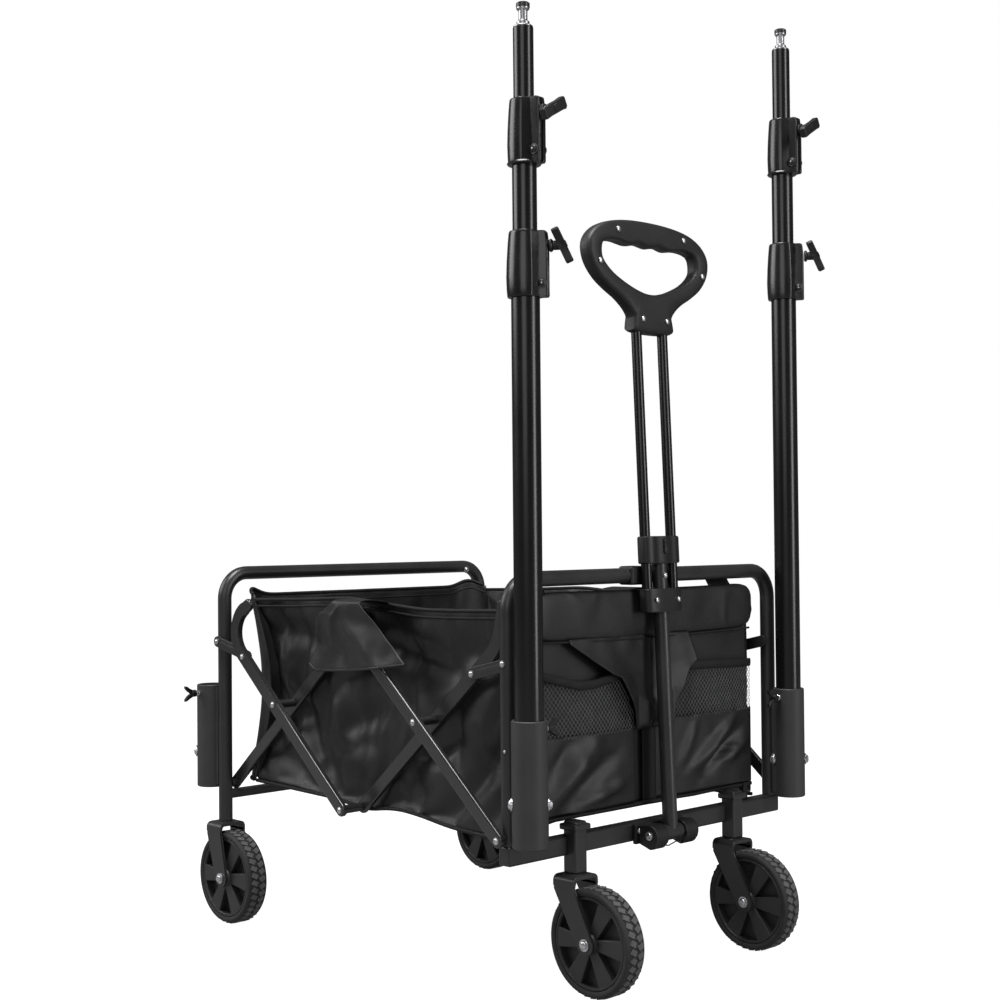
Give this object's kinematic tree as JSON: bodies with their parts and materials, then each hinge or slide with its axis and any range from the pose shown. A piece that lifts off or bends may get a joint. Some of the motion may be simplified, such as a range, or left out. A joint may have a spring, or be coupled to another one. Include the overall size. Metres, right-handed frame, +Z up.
{
  "type": "folding camp wagon",
  "caption": "Folding fabric wagon on swivel and fixed wheels, with a pull handle and telescopic stand poles clamped upright in corner sockets.",
  "frame": {"origin": "on the ground, under the middle of the wagon's box", "axes": "+Z up, +Y towards the rear, -Y towards the handle end, +X to the right seen from the handle end"},
  "size_m": [0.616, 0.786, 1.295],
  "materials": {
    "frame_paint": "satin black powder coat",
    "pole_anodised": "black anodised, glossy",
    "moulded_plastic": "matte black moulded plastic",
    "tyre_rubber": "dark grey rubber",
    "cloth": "black woven polyester"
  },
  "bodies": {
    "front_frame": {"front_hoop": "frame_paint", "front_cross_tube": "frame_paint", "handle_bracket": "moulded_plastic", "front_left_socket": "frame_paint", "front_right_socket": "frame_paint", "front_panel": "cloth", "fabric_tub": "cloth"},
    "rear_frame": {"rear_frame": "frame_paint", "rear_left_socket": "frame_paint", "rear_right_socket": "frame_paint", "rear_panel": "cloth", "rear_left_fork": "frame_paint", "rear_right_fork": "frame_paint"},
    "handle": {"handle_stem": "frame_paint", "handle_sleeve": "moulded_plastic"},
    "handle_slide": {"handle_rod_left": "pole_anodised", "handle_rod_right": "pole_anodised", "handle_rod_block": "moulded_plastic", "handle_grip": "moulded_plastic"},
    "lock_button": {"handle_lock_button": "moulded_plastic"},
    "left_front_rising": {"left_front_rising_bar": "frame_paint"},
    "left_front_falling": {"left_front_falling_bar": "frame_paint"},
    "left_front_link": {"left_front_link": "frame_paint"},
    "left_rear_rising": {"left_rear_rising_bar": "frame_paint"},
    "left_rear_falling": {"left_rear_falling_bar": "frame_paint"},
    "left_rear_link": {"left_rear_link": "frame_paint"},
    "right_front_rising": {"right_front_rising_bar": "frame_paint"},
    "right_front_falling": {"right_front_falling_bar": "frame_paint"},
    "right_front_link": {"right_front_link": "frame_paint"},
    "right_rear_rising": {"right_rear_rising_bar": "frame_paint"},
    "right_rear_falling": {"right_rear_falling_bar": "frame_paint"},
    "right_rear_link": {"right_rear_link": "frame_paint"},
    "left_caster": {"left_caster_fork": "frame_paint"},
    "front_left_wheel": {"front_left_rim": "moulded_plastic", "front_left_tyre": "tyre_rubber"},
    "rear_left_wheel": {"rear_left_rim": "moulded_plastic", "rear_left_tyre": "tyre_rubber"},
    "front_left_screw": {"front_left_wing_screw": "moulded_plastic"},
    "rear_left_screw": {"rear_left_wing_screw": "moulded_plastic"},
    "left_pole": {"left_pole_lower_tube": "pole_anodised", "left_pole_lower_collar": "pole_anodised"},
    "left_pole_middle": {"left_pole_middle_tube": "pole_anodised", "left_pole_upper_collar": "pole_anodised"},
    "left_pole_top": {"left_pole_top_tube": "pole_anodised"},
    "left_lower_knob": {"left_pole_lower_knob": "moulded_plastic"},
    "left_upper_knob": {"left_pole_upper_knob": "moulded_plastic"},
    "right_caster": {"right_caster_fork": "frame_paint"},
    "front_right_wheel": {"front_right_rim": "moulded_plastic", "front_right_tyre": "tyre_rubber"},
    "rear_right_wheel": {"rear_right_rim": "moulded_plastic", "rear_right_tyre": "tyre_rubber"},
    "front_right_screw": {"front_right_wing_screw": "moulded_plastic"},
    "rear_right_screw": {"rear_right_wing_screw": "moulded_plastic"},
    "right_pole": {"right_pole_lower_tube": "pole_anodised", "right_pole_lower_collar": "pole_anodised"},
    "right_pole_middle": {"right_pole_middle_tube": "pole_anodised", "right_pole_upper_collar": "pole_anodised"},
    "right_pole_top": {"right_pole_top_tube": "pole_anodised"},
    "right_lower_knob": {"right_pole_lower_knob": "moulded_plastic"},
    "right_upper_knob": {"right_pole_upper_knob": "moulded_plastic"}
  },
  "joints": [
    {"name": "fold", "type": "hinge", "parent": "front_frame", "child": "left_front_rising", "pos_m": [-0.26, -0.277, 0.2031], "axis": [1, 0, 0], "range_deg": [0, 33], "deforming": ["fabric_tub"]},
    {"name": "left_apex_pivot", "type": "hinge", "parent": "left_front_rising", "child": "left_rear_rising", "pos_m": [-0.26, 0.029, 0.4639], "axis": [1, 0, 0], "range_deg": [-66.01, 0]},
    {"name": "left_front_cross_pivot", "type": "hinge", "parent": "left_front_rising", "child": "left_front_falling", "pos_m": [-0.26, -0.124, 0.3335], "axis": [1, 0, 0], "range_deg": [-66.01, 0]},
    {"name": "left_rear_cross_pivot", "type": "hinge", "parent": "left_rear_rising", "child": "left_rear_falling", "pos_m": [-0.26, 0.182, 0.3335], "axis": [1, 0, 0], "range_deg": [0, 66.01]},
    {"name": "rear_frame_pivot", "type": "hinge", "parent": "left_rear_rising", "child": "rear_frame", "pos_m": [-0.26, 0.335, 0.2031], "axis": [1, 0, 0], "range_deg": [0, 33.01]},
    {"name": "right_front_rising_pivot", "type": "hinge", "parent": "front_frame", "child": "right_front_rising", "pos_m": [0.26, -0.277, 0.2031], "axis": [1, 0, 0], "range_deg": [0, 33.01]},
    {"name": "right_apex_pivot", "type": "hinge", "parent": "right_front_rising", "child": "right_rear_rising", "pos_m": [0.26, 0.029, 0.4639], "axis": [1, 0, 0], "range_deg": [-66.01, 0]},
    {"name": "right_front_cross_pivot", "type": "hinge", "parent": "right_front_rising", "child": "right_front_falling", "pos_m": [0.26, -0.124, 0.3335], "axis": [1, 0, 0], "range_deg": [-66.01, 0]},
    {"name": "right_rear_cross_pivot", "type": "hinge", "parent": "right_rear_rising", "child": "right_rear_falling", "pos_m": [0.26, 0.182, 0.3335], "axis": [1, 0, 0], "range_deg": [0, 66.01]},
    {"name": "left_front_link_pivot", "type": "hinge", "parent": "front_frame", "child": "left_front_link", "pos_m": [-0.26, -0.277, 0.4156], "axis": [1, 0, 0], "range_deg": [0, 81.75]},
    {"name": "left_rear_link_pivot", "type": "hinge", "parent": "rear_frame", "child": "left_rear_link", "pos_m": [-0.26, 0.335, 0.4156], "axis": [1, 0, 0], "range_deg": [-81.75, 0]},
    {"name": "left_caster_swivel", "type": "hinge", "parent": "front_frame", "child": "left_caster", "pos_m": [-0.158, -0.2895, 0.1805], "axis": [0, 0, 1], "continuous": true},
    {"name": "front_left_wheel_spin", "type": "hinge", "parent": "left_caster", "child": "front_left_wheel", "pos_m": [-0.158, -0.325, 0.068], "axis": [1, 0, 0], "continuous": true},
    {"name": "rear_left_wheel_spin", "type": "hinge", "parent": "rear_frame", "child": "rear_left_wheel", "pos_m": [-0.26, 0.317, 0.068], "axis": [1, 0, 0], "continuous": true},
    {"name": "front_left_screw_turn", "type": "hinge", "parent": "front_frame", "child": "front_left_screw", "pos_m": [-0.26, -0.313, 0.3375], "axis": [1, 0, 0], "range_deg": [0, 360]},
    {"name": "rear_left_screw_turn", "type": "hinge", "parent": "rear_frame", "child": "rear_left_screw", "pos_m": [-0.26, 0.371, 0.3375], "axis": [-1, 0, 0], "range_deg": [0, 360]},
    {"name": "left_pole_lift", "type": "slide", "parent": "front_frame", "child": "left_pole", "axis": [0, 0, 1], "range_m": [0, 0.12]},
    {"name": "left_pole_middle_slide", "type": "slide", "parent": "left_pole", "child": "left_pole_middle", "axis": [0, 0, 1], "range_m": [-0.078, 0.34]},
    {"name": "left_pole_top_slide", "type": "slide", "parent": "left_pole_middle", "child": "left_pole_top", "axis": [0, 0, 1], "range_m": [-0.086, 0.34]},
    {"name": "left_lower_knob_turn", "type": "hinge", "parent": "left_pole", "child": "left_lower_knob", "pos_m": [-0.26, -0.313, 0.92], "axis": [0.5736, -0.8192, 0], "range_deg": [0, 360]},
    {"name": "left_upper_knob_turn", "type": "hinge", "parent": "left_pole_middle", "child": "left_upper_knob", "pos_m": [-0.26, -0.313, 1.08], "axis": [0.1045, -0.9945, 0], "range_deg": [0, 360]},
    {"name": "right_front_link_pivot", "type": "hinge", "parent": "front_frame", "child": "right_front_link", "pos_m": [0.26, -0.277, 0.4156], "axis": [1, 0, 0], "range_deg": [0, 81.75]},
    {"name": "right_rear_link_pivot", "type": "hinge", "parent": "rear_frame", "child": "right_rear_link", "pos_m": [0.26, 0.335, 0.4156], "axis": [1, 0, 0], "range_deg": [-81.75, 0]},
    {"name": "right_caster_swivel", "type": "hinge", "parent": "front_frame", "child": "right_caster", "pos_m": [0.158, -0.2895, 0.1805], "axis": [0, 0, 1], "continuous": true},
    {"name": "front_right_wheel_spin", "type": "hinge", "parent": "right_caster", "child": "front_right_wheel", "pos_m": [0.158, -0.325, 0.068], "axis": [1, 0, 0], "continuous": true},
    {"name": "rear_right_wheel_spin", "type": "hinge", "parent": "rear_frame", "child": "rear_right_wheel", "pos_m": [0.26, 0.317, 0.068], "axis": [1, 0, 0], "continuous": true},
    {"name": "front_right_screw_turn", "type": "hinge", "parent": "front_frame", "child": "front_right_screw", "pos_m": [0.26, -0.313, 0.3375], "axis": [-1, 0, 0], "range_deg": [0, 360]},
    {"name": "rear_right_screw_turn", "type": "hinge", "parent": "rear_frame", "child": "rear_right_screw", "pos_m": [0.26, 0.371, 0.3375], "axis": [1, 0, 0], "range_deg": [0, 360]},
    {"name": "right_pole_lift", "type": "slide", "parent": "front_frame", "child": "right_pole", "axis": [0, 0, 1], "range_m": [-0.0465, 0.0735]},
    {"name": "right_pole_middle_slide", "type": "slide", "parent": "right_pole", "child": "right_pole_middle", "axis": [0, 0, 1], "range_m": [-0.097, 0.321]},
    {"name": "right_pole_top_slide", "type": "slide", "parent": "right_pole_middle", "child": "right_pole_top", "axis": [0, 0, 1], "range_m": [-0.099, 0.327]},
    {"name": "right_lower_knob_turn", "type": "hinge", "parent": "right_pole", "child": "right_lower_knob", "pos_m": [0.26, -0.313, 0.9665], "axis": [0.5736, -0.8192, 0], "range_deg": [0, 360]},
    {"name": "right_upper_knob_turn", "type": "hinge", "parent": "right_pole_middle", "child": "right_upper_knob", "pos_m": [0.26, -0.313, 1.1455], "axis": [0.1045, -0.9945, 0], "range_deg": [0, 360]},
    {"name": "handle_pivot", "type": "hinge", "parent": "front_frame", "child": "handle", "pos_m": [0, -0.3115, 0.1805], "axis": [1, 0, 0], "range_deg": [0, 95]},
    {"name": "handle_extend", "type": "slide", "parent": "handle", "child": "handle_slide", "axis": [0, 0.0422, 0.9991], "range_m": [-0.24, 0]},
    {"name": "lock_button_press", "type": "slide", "parent": "handle", "child": "lock_button", "axis": [0, 0.9991, -0.0422], "range_m": [0, 0.0025], "stiffness_N_per_m": 300}
  ],
  "couplings": [
    {"joint": "left_apex_pivot", "follows": "fold", "ratio": -2},
    {"joint": "left_front_cross_pivot", "follows": "fold", "ratio": -2},
    {"joint": "left_rear_cross_pivot", "follows": "fold", "ratio": 2},
    {"joint": "rear_frame_pivot", "follows": "fold", "ratio": 1},
    {"joint": "right_front_rising_pivot", "follows": "fold", "ratio": 1},
    {"joint": "right_apex_pivot", "follows": "fold", "ratio": -2},
    {"joint": "right_front_cross_pivot", "follows": "fold", "ratio": -2},
    {"joint": "right_rear_cross_pivot", "follows": "fold", "ratio": 2},
    {"joint": "left_front_link_pivot", "follows": "fold", "ratio": 2.4771},
    {"joint": "left_rear_link_pivot", "follows": "fold", "ratio": -2.4771},
    {"joint": "right_front_link_pivot", "follows": "fold", "ratio": 2.4771},
    {"joint": "right_rear_link_pivot", "follows": "fold", "ratio": -2.4771}
  ]
}
